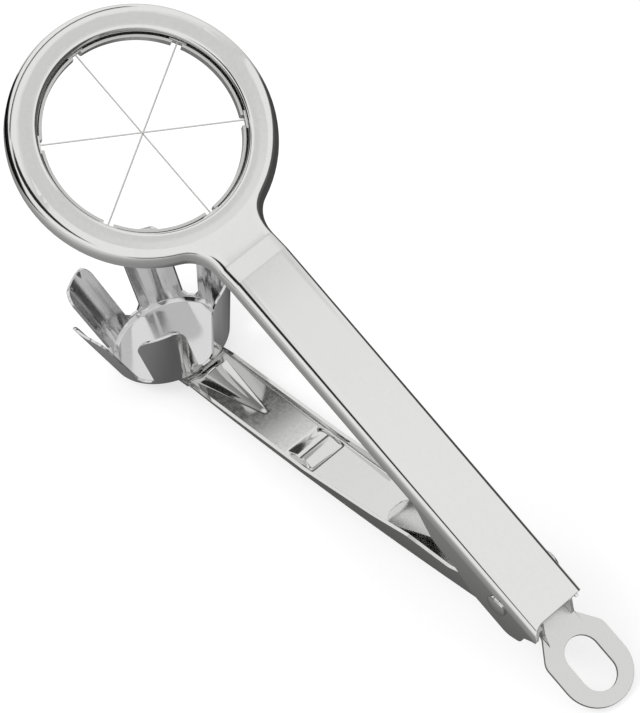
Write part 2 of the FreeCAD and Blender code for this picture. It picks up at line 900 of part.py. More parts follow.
grip = size("handle_half_width")
head = rivet_head(size("pin_head_radius"), size("pin_head_rise"))
hinge_pin = new_body("hinge_pin")
pin_profile = draw(
    hinge_pin,
    "pin_profile",
    "XY_Plane",
    outline(
        [(size("pin_radius"), -grip, 0), (size("pin_radius"), grip, 0)]
        + [(out, grip + up, 0) for out, up in head]
        + [(out, -grip - up, 0) for out, up in reversed(head)]
    ),
)
turned(hinge_pin, "pin_turn", pin_profile)
hinge_pin.Placement = UPPER


# Leaf spring: one strip, flat under the handle, round the pin and down to the lower web

leaf_eye = size("pin_radius") + size("leaf_eye_gap")
leaf_under = size("handle_top") - size("upper_gauge") - size("leaf_eye_gap") - size("leaf_gauge")
LEAF_HUMP = (-26.0, 0.6)
LEAF_FOOT_RISE = 0.9
LEAF_TOE = 2.0


def touch_circle(x, z, side):
    """Point where a line from (x, z) touches the spring's eye."""
    span = math.hypot(x, z)
    angle = math.atan2(z, x) + side * math.acos(leaf_eye / span)
    return leaf_eye * math.cos(angle), leaf_eye * math.sin(angle)


leaf_start = arm_point(-size("leaf_top_reach"), leaf_under)
eye_in = touch_circle(leaf_start[0], leaf_start[1], -1)
eye_out = touch_circle(LEAF_HUMP[0], LEAF_HUMP[1], 1)
foot_place = size("leaf_foot_place")
leaf_level = web_height(foot_place) + size("leaf_eye_gap") + size("leaf_gauge")
leaf_toe = foot_place - LEAF_TOE
leaf_line = outline(
    [
        (leaf_start[0], leaf_start[1], 0),
        (eye_in[0], eye_in[1], 0, (leaf_eye, 0)),
        (eye_out[0], eye_out[1], 0),
        (LEAF_HUMP[0], LEAF_HUMP[1], 18),
        (foot_place, leaf_level, 4),
        (leaf_toe, leaf_level + 0.1, 0),
    ],
    closed=False,
)


def leaf_band(curves):
    """Band of the spring's gauge on the outer side of its inner line, across the arm."""
    wire = Part.Wire([curve.toShape() for curve in curves])
    face = wire.makeOffset2D(-size("leaf_gauge"), 0, True, True, False)
    return face


def leaf_plan(corners):
    """Plan outline of one leg, as a prism through the whole spring."""
    wire = Part.Wire([curve.toShape() for curve in outline(corners)])
    face = Part.Face(wire)
    face.translate(Vector(0, 0, -FAR))
    return face.extrude(Vector(0, 0, 2 * FAR))


wide = size("leaf_tip_half_width")
narrow = size("leaf_half_width")
section = leaf_band(leaf_line)
section.rotate(Vector(), Vector(1, 0, 0), 90)
section.translate(Vector(0, wide, 0))
leaf_block = section.extrude(Vector(0, -2 * wide, 0))
LEAF_SPLIT = -12.0
leaf_leg = leaf_block.common(
    leaf_plan(
        [
            (leaf_toe, -wide, wide * 0.9),
            (LEAF_SPLIT * 3.5, -wide, 30),
            (LEAF_SPLIT, -narrow, 0),
            (LEAF_SPLIT, narrow, 0),
            (LEAF_SPLIT * 3.5, wide, 30),
            (leaf_toe, wide, wide * 0.9),
        ]
    )
)
leaf_rest = leaf_block.common(Part.makeBox(FAR, 2 * narrow, 2 * FAR, Vector(LEAF_SPLIT, -narrow, -FAR)))
leaf_top = leaf_block.common(
    Part.makeBox(2 * FAR, 2 * narrow, FAR, Vector(-2 * FAR, -narrow, LEAF_HUMP[1] + 2))
)
leaf_spring = doc.addObject("Part::Feature", "leaf_spring")
leaf_spring.Shape = leaf_leg.fuse([leaf_rest, leaf_top]).removeSplitter()
leaf_spring.Placement = LOWER


# Sliding tab: flat plate with a hanging slot, and two wings that ride on the pin

tab_foot = size("tab_level") - size("tab_gauge")
neck_half = size("tab_neck_half_width")
lock_slide = new_body("lock_slide")
tab_end = size("tab_straight_end") + size("tab_half_width")
tab_plan = draw(
    lock_slide,
    "tab_plan",
    "XY_Plane",
    outline(
        [
            (size("tab_inner_end"), -neck_half, 0),
            (size("tab_neck_end"), -neck_half, size("tab_neck_fillet")),
            (size("tab_shoulder"), -size("tab_half_width"), size("tab_shoulder_round")),
            (size("tab_straight_end"), -size("tab_half_width"), 0, (tab_end, 0)),
            (size("tab_straight_end"), size("tab_half_width"), 0),
            (size("tab_shoulder"), size("tab_half_width"), size("tab_shoulder_round")),
            (size("tab_neck_end"), neck_half, size("tab_neck_fillet")),
            (size("tab_inner_end"), neck_half, 0),
        ]
    ),
    tab_foot,
)
tab_plate = pad(lock_slide, "tab_plate", tab_plan, size("tab_gauge"))
drive(tab_plate, "Length", "sizes.tab_gauge")
wing_top = size("handle_top") - size("upper_gauge") - size("wing_gap")
ride = size("pin_radius") + size("pin_fit")
wing_side = draw(
    lock_slide,
    "wing_side",
    "XZ_Plane",
    outline(
        [
            (size("wing_inner_end"), tab_foot, 1),
            (size("tab_neck_end"), tab_foot, 0),
            (size("tab_neck_end"), size("tab_level") + 0.5, 0),
            (size("wing_end"), wing_top, 0),
            (size("wing_inner_end"), wing_top, 2),
        ]
    ),
)
pad(lock_slide, "wing_blocks", wing_side, 2 * neck_half, symmetric=True)
wing_inside = neck_half - size("wing_gauge")
between = draw(
    lock_slide,
    "between_wings",
    "XZ_Plane",
    outline(
        [
            (-FAR, -FAR, 0),
            (size("tab_inner_end"), -FAR, 0),
            (size("tab_inner_end"), size("tab_level"), 0),
            (FAR, size("tab_level"), 0),
            (FAR, FAR, 0),
            (-FAR, FAR, 0),
        ]
    ),
)
pocket(lock_slide, "wing_gap_cut", between, 2 * wing_inside, symmetric=True)
ride_slot = draw(
    lock_slide,
    "ride_slot",
    "XZ_Plane",
    outline(
        [
            (0, -ride, 0),
            (size("tab_stroke"), -ride, 0, (size("tab_stroke") + ride, 0)),
            (size("tab_stroke"), ride, 0),
            (0, ride, 0, (-ride, 0)),
        ]
    ),
)
pocket(lock_slide, "ride_cut", ride_slot, 2 * FAR, symmetric=True)
slot_start = size("hang_slot_start")
slot_end = size("hang_slot_end")
slot_radius = size("hang_slot_radius")
hang_slot = draw(
    lock_slide,
    "hang_slot",
    "XY_Plane",
    outline(
        [
            (slot_start, -slot_radius, 0),
            (slot_end, -slot_radius, 0, (slot_end + slot_radius, 0)),
            (slot_end, slot_radius, 0),
            (slot_start, slot_radius, 0, (slot_start - slot_radius, 0)),
        ]
    ),
    tab_foot - 1,
)
pocket(lock_slide, "hang_cut", hang_slot, size("tab_gauge") + 2, reverse=True)
lock_slide.Placement = UPPER

doc.recompute()


# Checks and files

NODES = (
    "lower_arm",
    "egg_cup",
    "cup_rivet",
    "hinge_pin",
    "leaf_spring",
    "upper_arm",
    "wire_carrier",
    "wire_axial",
    "wire_near",
    "wire_far",
    "wire_anchors",
    "lock_slide",
)
for item in doc.Objects:
    if "Invalid" in item.State or "Error" in item.State:
        raise RuntimeError(f"{item.Name} did not compute")
os.makedirs("parts", exist_ok=True)
for label in NODES:
    item = doc.getObjectsByLabel(label)[0]
    if item.Shape.isNull() or not item.Shape.isValid():
        raise RuntimeError(f"{label} has no valid shape")
    print(label, len(item.Shape.Solids), round(item.Shape.Volume, 1), item.Shape.BoundBox)
    item.Shape.exportStep(f"parts/{label}.step")
print("stand", STAND, "hinge", UPPER.Base, "foot", foot_x, foot_z)
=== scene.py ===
import json
import math

import bmesh
import bpy
import numpy as np
from mathutils import Matrix, Vector


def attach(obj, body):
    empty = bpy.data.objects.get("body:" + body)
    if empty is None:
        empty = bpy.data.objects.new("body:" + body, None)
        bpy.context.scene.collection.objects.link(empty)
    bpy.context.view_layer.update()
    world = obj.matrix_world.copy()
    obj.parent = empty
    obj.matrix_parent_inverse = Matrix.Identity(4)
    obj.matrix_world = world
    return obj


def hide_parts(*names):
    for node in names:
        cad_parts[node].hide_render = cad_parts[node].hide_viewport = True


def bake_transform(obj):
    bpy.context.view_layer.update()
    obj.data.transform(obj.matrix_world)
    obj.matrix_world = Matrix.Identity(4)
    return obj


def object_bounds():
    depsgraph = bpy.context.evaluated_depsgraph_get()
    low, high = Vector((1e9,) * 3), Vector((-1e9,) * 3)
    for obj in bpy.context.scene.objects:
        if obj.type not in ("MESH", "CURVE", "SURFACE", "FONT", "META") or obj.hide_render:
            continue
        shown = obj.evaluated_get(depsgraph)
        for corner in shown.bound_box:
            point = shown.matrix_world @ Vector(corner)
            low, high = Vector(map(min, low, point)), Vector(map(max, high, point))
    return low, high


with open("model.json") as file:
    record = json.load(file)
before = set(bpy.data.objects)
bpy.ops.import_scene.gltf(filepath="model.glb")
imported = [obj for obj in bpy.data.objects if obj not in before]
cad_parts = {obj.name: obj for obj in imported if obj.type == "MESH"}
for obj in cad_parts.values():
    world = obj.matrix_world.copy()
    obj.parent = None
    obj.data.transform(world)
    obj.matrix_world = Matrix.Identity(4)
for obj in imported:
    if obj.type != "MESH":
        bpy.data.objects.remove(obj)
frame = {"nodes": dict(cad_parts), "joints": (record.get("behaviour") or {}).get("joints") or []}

# Egg wedge slicer in stainless steel: finishes, studio and camera. The scene is in metres. Sizes
# of the new pieces are in millimetres in the arms' own frames.

cad_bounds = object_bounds()
nodes = frame["nodes"]
joints = {joint["name"]: joint for joint in frame["joints"]}
MM = 0.001

# The upper arm's own frame: the hinge axis is its Y, X runs towards the tab, Z out of its top.
# The lower arm's frame is the same one turned back about the hinge by the open angle.
HINGE = Vector(joints["squeeze"]["pos_m"])
ARM_X = Vector(joints["tab_slide"]["axis"]).normalized()
ARM_Y = Vector((0, 1, 0))
ARM_Z = ARM_X.cross(ARM_Y)
OPEN_ANGLE = math.radians(35.66)
CLOSED_ANGLE = math.radians(-4)
CUP_FLOOR = Vector((0.005906, 0, 0.002581))
LOWER_X = ARM_X * math.cos(OPEN_ANGLE) + ARM_Z * math.sin(OPEN_ANGLE)
LOWER_Z = LOWER_X.cross(ARM_Y)


def arm_vector(x, y, z):
    """A direction given in the upper arm's frame."""
    return ARM_X * x + ARM_Y * y + ARM_Z * z


def arm_point(x, y, z):
    """A point given in the upper arm's frame, in millimetres."""
    return HINGE + arm_vector(x, y, z) * MM


def placed(points, origin, x_axis, y_axis, z_axis):
    """Array of millimetre points, rows (x, y, z), carried into a frame with its own axes."""
    axes = np.array([list(x_axis), list(y_axis), list(z_axis)])
    return np.array(list(origin)) + points @ axes * MM


# Camera, its place in millimetres and its directions in the upper arm's frame

CAMERA_PLACE = (8.9518, -289.6306, 848.1042)
CAMERA_RIGHT = (0.6477778, 0.7383730, 0.1875879)
CAMERA_DOWN = (0.7562959, -0.5936491, -0.2749495)
CAMERA_FORWARD = (-0.0916539, 0.3199782, -0.9429812)
CAMERA_SENSOR = 36
CAMERA_LENS = 187.29
CAMERA_CLIP = (0.05, 20)


def add_camera():
    """Long lens above the near side of the hinge end."""
    right = arm_vector(*CAMERA_RIGHT)
    down = arm_vector(*CAMERA_DOWN)
    forward = arm_vector(*CAMERA_FORWARD)
    data = bpy.data.cameras.new("camera")
    data.sensor_width = CAMERA_SENSOR
    data.lens = CAMERA_LENS
    data.clip_start, data.clip_end = CAMERA_CLIP
    camera = bpy.data.objects.new("camera", data)
    bpy.context.scene.collection.objects.link(camera)
    turn = Matrix((right, -down, -forward)).transposed().to_4x4()
    camera.matrix_world = Matrix.Translation(arm_point(*CAMERA_PLACE)) @ turn
    bpy.context.scene.camera = camera


# Node helpers shared by the studio and the finishes

def node(tree, kind, **settings):
    """A new node with its settings; a dict under "inputs" sets sockets by name or number."""
    made = tree.nodes.new(kind)
    for socket, value in settings.pop("inputs", {}).items():
        made.inputs[socket].default_value = value
    for setting, value in settings.items():
        setattr(made, setting, value)
    return made


def grey(level):
    """Opaque colour with the one level in all three parts."""
    return (level, level, level, 1)


def ramp(tree, fac, stops):
    """Grey ramp through (place, level) stops, driven by a socket."""
    made = tree.nodes.new("ShaderNodeValToRGB")
    elements = made.color_ramp.elements
    while len(elements) < len(stops):
        elements.new(0.5)
    for element, (place, level) in zip(elements, stops):
        element.position = place
        element.color = grey(level)
    tree.links.new(fac, made.inputs["Fac"])
    return made.outputs["Color"]


def eased(tree, value, low, high):
    """Smooth step of a socket: 0 at low, 1 at high; low may be the greater."""
    flip = low > high
    made = node(
        tree,
        "ShaderNodeMapRange",
        interpolation_type="SMOOTHSTEP",
        inputs={
            "From Min": min(low, high),
            "From Max": max(low, high),
            "To Min": 1.0 if flip else 0.0,
            "To Max": 0.0 if flip else 1.0,
        },
    )
    tree.links.new(value, made.inputs["Value"])
    return made.outputs["Result"]


def maths(tree, operation, *values):
    """One math node over sockets and plain numbers."""
    made = node(tree, "ShaderNodeMath", operation=operation)
    for slot, value in enumerate(values):
        if isinstance(value, (int, float)):
            made.inputs[slot].default_value = value
        else:
            tree.links.new(value, made.inputs[slot])
    return made.outputs[0]


def product(tree, *values):
    """Sockets and plain numbers multiplied from first to last."""
    total = values[0]
    for value in values[1:]:
        total = maths(tree, "MULTIPLY", total, value)
    return total


def from_signed(tree, value, scale=0.5):
    """A value either side of 0, scaled and moved to lie between 0 and 1."""
    return maths(tree, "MULTIPLY_ADD", value, scale, 0.5)


def blended(tree, share, below, above):
    """below where the share is 0, above where it is 1."""
    rest = maths(tree, "SUBTRACT", above, below)
    return maths(tree, "MULTIPLY_ADD", share, rest, below)


# The table's dark part under the slicer is painted shadow and its paler parts painted light, in a
# glow only the steel mirrors.
# Studio. The camera sees white all round. What the steel mirrors is kept apart from that: levels
# by direction and by place, fitted to the reflections seen from the camera's side. They
# stand for a broad softbox overhead, a card towards the front with a dark gap in it, a dark room
# round the horizon that is open only behind the ring, and a table that is dark under the slicer
# and paler towards the front. None of them is brighter than white.
#
# SKY_ALONG is the softbox by the direction's share along the arm, and CARD_UP the card by height,
# -1 to 1 written as 0 to 1. DARK_ROUND, the room, and DARK_TOP, the height at which the softbox
# ends, written the same way, go once round the compass from -X. A pair is where an edge starts
# and where it ends.

SKY_ALONG = (
    (0.025, 0.87), (0.25, 0.85), (0.295, 0.76), (0.375, 0.63), (0.418, 0.58), (0.431, 0.66),
    (0.438, 0.93), (0.4415, 0.90), (0.445, 0.745), (0.4615, 0.77), (0.50, 0.84), (0.55, 0.85),
    (0.65, 0.85), (1.0, 0.80),
)
DARK_TOP = (
    (0.0, 0.60), (0.097, 0.705), (0.194, 0.65), (0.361, 0.65), (0.389, 0.56), (0.422, 0.565),
    (0.50, 0.60), (0.583, 0.685), (0.661, 0.685), (0.75, 0.50), (0.833, 0.40), (0.917, 0.40),
    (1.0, 0.60),
)
CARD_UP = (
    (0.5, 0.575), (0.65, 0.945), (0.73, 0.985), (0.76, 0.016), (0.89, 0.016), (0.92, 0.75),
    (1.0, 0.75),
)
DARK_ROUND = (
    (0.0, 0.01), (0.30, 0.01), (0.36, 0.15), (0.50, 0.16), (0.58, 0.11), (0.64, 0.08),
    (0.75, 0.07), (0.85, 0.03), (1.0, 0.01),
)
SOFTBOX_EDGE = (-0.08, 0.08)
SCREEN_LEFT = (-0.642, -0.625)
SCREEN_RIGHT = (-0.36, -0.58)
SCREEN_NEAR = (-0.65, -0.5)
SCREEN_FAR = (0.75, 0.65)
SCREEN_FOOT = (0.35, 0.45)
SCREEN_LEVEL = 0.05
CARD_FRONT = (-0.50, -0.62)
CARD_SIDE = (-0.5, -0.32)
ROOM_GAIN = 1.3
WHITE = 1.0
AROUND_LEVEL = 0.8


def mirrored_room(tree, x, y, z, along):
    """Brightness by direction. The softbox goes by the direction's share along the arm, ends
    at a height that goes by the compass and has a narrow dark screen in it beyond the ring.
    The card is the part towards the front. Nothing in the room is brighter than white."""
    sky = ramp(tree, from_signed(tree, along), SKY_ALONG)
    compass = from_signed(tree, maths(tree, "ARCTAN2", y, x), 0.5 / math.pi)
    top = maths(tree, "MULTIPLY_ADD", ramp(tree, compass, DARK_TOP), 2.0, -1.0)
    above = eased(tree, maths(tree, "SUBTRACT", z, top), *SOFTBOX_EDGE)
    across = product(tree, eased(tree, x, *SCREEN_LEFT), eased(tree, x, *SCREEN_RIGHT))
    deep = product(tree, eased(tree, y, *SCREEN_NEAR), eased(tree, y, *SCREEN_FAR))
    screen = product(tree, across, deep, eased(tree, z, *SCREEN_FOOT))
    sky = blended(tree, screen, sky, SCREEN_LEVEL)
    room = blended(tree, above, ramp(tree, compass, DARK_ROUND), sky)
    card = ramp(tree, from_signed(tree, z), CARD_UP)
    front = product(tree, eased(tree, y, *CARD_FRONT), eased(tree, x, *CARD_SIDE))
    lit = product(tree, blended(tree, front, room, card), ROOM_GAIN)
    return maths(tree, "MINIMUM", lit, WHITE)


def add_world():
    """White to the camera, the mirrored room to glossy rays and a plain pale grey to the rest."""
    world = bpy.data.worlds.new("studio")
    bpy.context.scene.world = world
    world.use_nodes = True
    tree = world.node_tree
    tree.nodes.clear()
    link = tree.links.new
    coords = node(tree, "ShaderNodeTexCoord")
    split = node(tree, "ShaderNodeSeparateXYZ")
    link(coords.outputs["Generated"], split.inputs[0])
    along = node(tree, "ShaderNodeVectorMath", operation="DOT_PRODUCT")
    along.inputs[1].default_value = ARM_X
    link(coords.outputs["Generated"], along.inputs[0])
    room = mirrored_room(tree, *split.outputs, along.outputs["Value"])
    path = node(tree, "ShaderNodeLightPath")
    mirrored = node(tree, "ShaderNodeBackground")
    link(room, mirrored.inputs["Color"])
    around = node(tree, "ShaderNodeBackground", inputs={"Color": grey(AROUND_LEVEL)})
    seen = node(tree, "ShaderNodeBackground", inputs={"Color": grey(WHITE)})
    glossy = node(tree, "ShaderNodeMixShader")
    link(path.outputs["Is Glossy Ray"], glossy.inputs["Fac"])
    link(around.outputs[0], glossy.inputs[1])
    link(mirrored.outputs[0], glossy.inputs[2])
    final = node(tree, "ShaderNodeMixShader")
    link(path.outputs["Is Camera Ray"], final.inputs["Fac"])
    link(glossy.outputs[0], final.inputs[1])
    link(seen.outputs[0], final.inputs[2])
    out = node(tree, "ShaderNodeOutputWorld")
    link(final.outputs[0], out.inputs["Surface"])


# The table's painted levels and edges, places in metres: a glow seen only in the steel, with
# painted shadow under the slicer and painted light further out and behind. The levels in front go
# by the distance from the middle line as a share of TABLE_REACH.

TABLE_PAINTED_SHADE_OUT = (
    (0.0, 0.12), (0.02, 0.13), (0.033, 0.20), (0.058, 0.30), (0.133, 0.34), (0.25, 0.42),
    (0.5, 0.56), (1.0, 0.72),
)
TABLE_REACH = 0.6
TABLE_PAINTED_LIT_LEFT = 0.7
TABLE_PAINTED_LIT_STRIP = 0.45
TABLE_PAINTED_DIM = 0.07
TABLE_END = (-0.24, -0.13)
BEHIND_LEFT = (-0.02, -0.12)
STRIP_START = (0.0, 0.05)
STRIP_SIDE = (0.06, 0.03)
BEHIND_EDGE = (0.0, 0.02)
FLOOR_SIZE = 8
FLOOR_DROP = 0.0002
FLOOR_LIT = 0.45
FLOOR_GLOW = 0.64


def painted_table_glow(tree, x, y):
    """Painted glow by place, seen only in the steel. In front it rises from a painted shadow
    under the slicer with the distance from the slicer's middle line, and ends at the left.
    Behind, it is painted shade, with painted light at the left and in a strip beside the handle."""
    out = ramp(tree, maths(tree, "DIVIDE", maths(tree, "ABSOLUTE", y), TABLE_REACH), TABLE_PAINTED_SHADE_OUT)
    before = product(tree, out, eased(tree, x, *TABLE_END))
    left = product(tree, eased(tree, x, *BEHIND_LEFT), TABLE_PAINTED_LIT_LEFT)
    strip = product(tree, eased(tree, x, *STRIP_START), eased(tree, y, *STRIP_SIDE))
    behind = maths(tree, "ADD", maths(tree, "MULTIPLY_ADD", strip, TABLE_PAINTED_LIT_STRIP, left), TABLE_PAINTED_DIM)
    return blended(tree, eased(tree, y, *BEHIND_EDGE), before, behind)


def add_floor():
    """White table at the object's lowest point. The camera sees it white with a faint shadow,
    and glossy rays see its painted glow instead: painted shadow under the slicer, painted light
    further out."""
    low = cad_bounds[0][2]
    bpy.ops.mesh.primitive_plane_add(size=FLOOR_SIZE, location=(0, 0, low - FLOOR_DROP))
    floor = bpy.context.object
    floor.name = "floor"
    material = bpy.data.materials.new("white_table_painted_glow")
    material.use_nodes = True
    tree = material.node_tree
    link = tree.links.new
    shader = tree.nodes["Principled BSDF"]
    shader.inputs["Base Color"].default_value = grey(FLOOR_LIT)
    shader.inputs["Roughness"].default_value = 1
    shader.inputs["Specular IOR Level"].default_value = 0
    glow = node(tree, "ShaderNodeEmission", inputs={"Color": grey(FLOOR_GLOW)})
    seen = node(tree, "ShaderNodeAddShader")
    link(shader.outputs[0], seen.inputs[0])
    link(glow.outputs[0], seen.inputs[1])
    coords = node(tree, "ShaderNodeTexCoord")
    split = node(tree, "ShaderNodeSeparateXYZ")
    link(coords.outputs["Object"], split.inputs[0])
    # Glow only glossy rays see: painted shadow under the slicer, painted light further out and
    # behind
    mirrored = node(tree, "ShaderNodeEmission")
    link(painted_table_glow(tree, split.outputs["X"], split.outputs["Y"]), mirrored.inputs["Color"])
    path = node(tree, "ShaderNodeLightPath")
    mix = node(tree, "ShaderNodeMixShader")
    link(path.outputs["Is Glossy Ray"], mix.inputs["Fac"])
    link(seen.outputs[0], mix.inputs[1])
    link(mirrored.outputs[0], mix.inputs[2])
    link(mix.outputs[0], tree.nodes["Material Output"].inputs["Surface"])
    floor.data.materials.append(material)


def add_softbox(name, place, aim, width, height, watts):
    """Rectangular lamp at a place, turned to face a point, and not mirrored in the steel."""
    data = bpy.data.lights.new(name, "AREA")
    data.shape = "RECTANGLE"
    data.size = width
    data.size_y = height
    data.energy = watts
    lamp = bpy.data.objects.new(name, data)
    bpy.context.scene.collection.objects.link(lamp)
    lamp.location = place
    lamp.rotation_euler = (Vector(aim) - Vector(place)).to_track_quat("-Z", "Y").to_euler()
    lamp.visible_glossy = False


# Finishes. Waves and grain are each a noise scale and a bump depth in metres.

SHEET_WAVES = (40.0, 0.00004)
CUP_WAVES = (60.0, 0.00005)
SMOOTH_GRAIN = (900.0, 0.0)
SATIN_GRAIN = (1500.0, 0.0000005)
MARK_SOCKETS = ("Wave Scale", "Wave Depth", "Grain Scale", "Grain Depth")
GRAIN_LOW = 0.3
GRAIN_HIGH = 0.7
TROUGH_SHADE = 0.94


def sheet_marks():
    """Group for worked steel. Waves is a slow unevenness of the sheet, Grain a fine cloudy
    pattern. Puts out the normal and the grain."""
    tree = bpy.data.node_groups.new("sheet_marks", "ShaderNodeTree")
    face = tree.interface
    for name in MARK_SOCKETS:
        face.new_socket(name, in_out="INPUT", socket_type="NodeSocketFloat")
    face.new_socket("Grain", in_out="OUTPUT", socket_type="NodeSocketFloat")
    face.new_socket("Normal", in_out="OUTPUT", socket_type="NodeSocketVector")
    link = tree.links.new
    given = node(tree, "NodeGroupInput")
    out = node(tree, "NodeGroupOutput")
    coords = node(tree, "ShaderNodeTexCoord")
    waves = node(tree, "ShaderNodeTexNoise", inputs={"Detail": 1.0, "Roughness": 0.4})
    link(coords.outputs["Object"], waves.inputs["Vector"])
    link(given.outputs["Wave Scale"], waves.inputs["Scale"])
    grain = node(tree, "ShaderNodeTexNoise", inputs={"Detail": 4.0, "Roughness": 0.6})
    link(coords.outputs["Object"], grain.inputs["Vector"])
    link(given.outputs["Grain Scale"], grain.inputs["Scale"])
    slow = node(tree, "ShaderNodeBump", inputs={"Strength": 1.0})
    link(waves.outputs["Fac"], slow.inputs["Height"])
    link(given.outputs["Wave Depth"], slow.inputs["Distance"])
    fine = node(tree, "ShaderNodeBump", inputs={"Strength": 1.0})
    link(grain.outputs["Fac"], fine.inputs["Height"])
    link(given.outputs["Grain Depth"], fine.inputs["Distance"])
    link(slow.outputs["Normal"], fine.inputs["Normal"])
    link(grain.outputs["Fac"], out.inputs["Grain"])
    link(fine.outputs["Normal"], out.inputs["Normal"])
    return tree


def steel(name, marks, color, roughness, spread, waves=SHEET_WAVES, grain=SMOOTH_GRAIN):
    """Worked steel: one base colour a shade darker in the grain's troughs, and a roughness that
    runs from the first value by the spread."""
    material = bpy.data.materials.new(name)
    material.use_nodes = True
    tree = material.node_tree
    link = tree.links.new
    shader = tree.nodes["Principled BSDF"]
    shader.inputs["Metallic"].default_value = 1
    worked = node(tree, "ShaderNodeGroup")
    worked.node_tree = marks
    for socket, value in zip(MARK_SOCKETS, (*waves, *grain)):
        worked.inputs[socket].default_value = value
    haze = node(
        tree,
        "ShaderNodeMapRange",
        inputs={
            "From Min": GRAIN_LOW,
            "From Max": GRAIN_HIGH,
            "To Min": roughness,
            "To Max": roughness + spread,
        },
    )
    link(worked.outputs["Grain"], haze.inputs["Value"])
    link(haze.outputs["Result"], shader.inputs["Roughness"])
    shade = node(tree, "ShaderNodeMix", data_type="RGBA")
    shade.inputs["A"].default_value = (*[TROUGH_SHADE * part for part in color], 1)
    shade.inputs["B"].default_value = (*color, 1)
    link(worked.outputs["Grain"], shade.inputs["Factor"])
    link(shade.outputs["Result"], shader.inputs["Base Color"])
    link(worked.outputs["Normal"], shader.inputs["Normal"])
    return material


# Pieces

MERGE = 2e-6
FLAT_ANGLE = 0.6
EASED_SMOOTH = 28
EASED_FROM = 35
ROUND_SMOOTH = 40
WEB_SMOOTH = 30


def finished(name, mesh, body, slot, material, *replaced):
    """Makes a piece of a mesh: its material, the body it rides on and the node it stands for."""
    mesh.materials.clear()
    mesh.materials.append(material)
    piece = bpy.data.objects.new(name, mesh)
    bpy.context.scene.collection.objects.link(piece)
    if replaced:
        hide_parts(*replaced)
    if body:
        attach(piece, body)
    return piece


def eased_copy(name, source, body, slot, material, edge):
    """Welded copy of a CAD node with its flats whole again, its gentle joins shaded smooth and
    its sharp edges eased by a narrow bevel."""
    mesh = bpy.data.meshes.new(name)
    form = bmesh.new()
    form.from_mesh(nodes[source].data)
    bmesh.ops.remove_doubles(form, verts=form.verts, dist=MERGE)
    bmesh.ops.dissolve_limit(
        form, angle_limit=math.radians(FLAT_ANGLE), verts=form.verts, edges=form.edges
    )
    form.to_mesh(mesh)
    form.free()
    mesh.shade_smooth()
    mesh.set_sharp_from_angle(angle=math.radians(EASED_SMOOTH))
    piece = finished(name, mesh, body, slot, material, source)
    bevel = piece.modifiers.new("eased_edges", "BEVEL")
    bevel.width = edge * MM
    bevel.segments = 2
    bevel.limit_method = "ANGLE"
    bevel.angle_limit = math.radians(EASED_FROM)
    bevel.use_clamp_overlap = False
    bevel.harden_normals = True


def grid_mesh(name, points, around=False):
    """Mesh of quads over a grid of points, shape (rows, columns, 3). Where it goes around, the
    last column joins the first."""
    rows, columns = points.shape[:2]
    row = np.arange(rows - 1)[:, None]
    column = np.arange(columns if around else columns - 1)[None, :]
    ahead = (column + 1) % columns
    quads = np.stack(
        (
            row * columns + column + 0 * row,
            row * columns + ahead + 0 * row,
            (row + 1) * columns + ahead,
            (row + 1) * columns + column,
        ),
        axis=-1,
    ).reshape(-1, 4)
    mesh = bpy.data.meshes.new(name)
    mesh.from_pydata(points.reshape(-1, 3).tolist(), [], quads.tolist())
    return mesh


def closed_and_smooth(mesh, smooth):
    """Merges the points at seams and poles, turns the faces outwards and shades gentle joins
    smooth."""
    form = bmesh.new()
    form.from_mesh(mesh)
    bmesh.ops.remove_doubles(form, verts=form.verts, dist=MERGE)
    bmesh.ops.dissolve_degenerate(form, edges=form.edges, dist=1e-7)
    bmesh.ops.recalc_face_normals(form, faces=form.faces)
    form.to_mesh(mesh)
    form.free()
    mesh.shade_smooth()
    mesh.set_sharp_from_angle(angle=math.radians(smooth))
    return mesh


TURN_STEPS = 72
DOME_STEPS = 12


def dome(radius, rise, brim):
    """Profile of a rivet's head from its brim to its crown, rows (distance, height): an upright
    brim, then an ellipse, distance = radius cos t, height = brim + (rise - brim) sin t."""
    turn = np.linspace(0, math.pi / 2, DOME_STEPS)
    curve = np.stack((radius * np.cos(turn), brim + (rise - brim) * np.sin(turn)), axis=-1)
    return np.concatenate((np.array([[radius, 0.0]]), curve))


def turned_mesh(name, profile, origin, axis, side, steps=TURN_STEPS):
    """Solid of revolution: each profile row (distance, height) is carried round the axis,
    point = origin + height axis + distance (cos a side + sin a third)."""
    third = axis.cross(side)
    angle = np.linspace(0, 2 * math.pi, steps, endpoint=False)
    distance = profile[:, 0][:, None]
    height = profile[:, 1][:, None] + 0 * angle[None, :]
    rows = np.stack((distance * np.cos(angle), distance * np.sin(angle), height), axis=-1)
    points = placed(rows.reshape(-1, 3), origin, side, third, axis)
    return grid_mesh(name, points.reshape(*rows.shape), around=True)


# Rivets. A head is its radius, its rise and its brim.

PIN_GRIP = 8.8
PIN_HEAD = (3.1, 1.1, 0.25)
PIN_RADIUS = 2.0
CUP_HEAD = (3.4, 0.6, 0.12)
CUP_TAIL = 1.8


def pin_profile():
    """Hinge pin from one crown to the other: dome, shank, dome."""
    top = dome(*PIN_HEAD) + np.array([0, PIN_GRIP])
    shank = np.array([[PIN_RADIUS, -PIN_GRIP], [PIN_RADIUS, PIN_GRIP]])
    bottom = top[::-1] * np.array([1, -1])
    return np.concatenate((bottom, shank, top))


def cup_rivet_profile():
    """Cup rivet from its flush tail to its crown."""
    tail = np.array([[0.0, -CUP_TAIL], [PIN_RADIUS, -CUP_TAIL], [PIN_RADIUS, 0.0]])
    return np.concatenate((tail, dome(*CUP_HEAD)))


# Rim of the ring's hole: the flat carried in to a tight roll

RING_DISTANCE = 143.0
RING_TOP = 5.2
RIM_RADIUS = 26.0
RIM_ROLL = 1.3
RIM_OUT = 30.5
RIM_LIFT = 0.02
RIM_STEPS = 14
RIM_TURN_STEPS = 288
RIM_HIDDEN = ((26.6, 4.1), (28.6, 4.7), (RIM_OUT, 5.0))


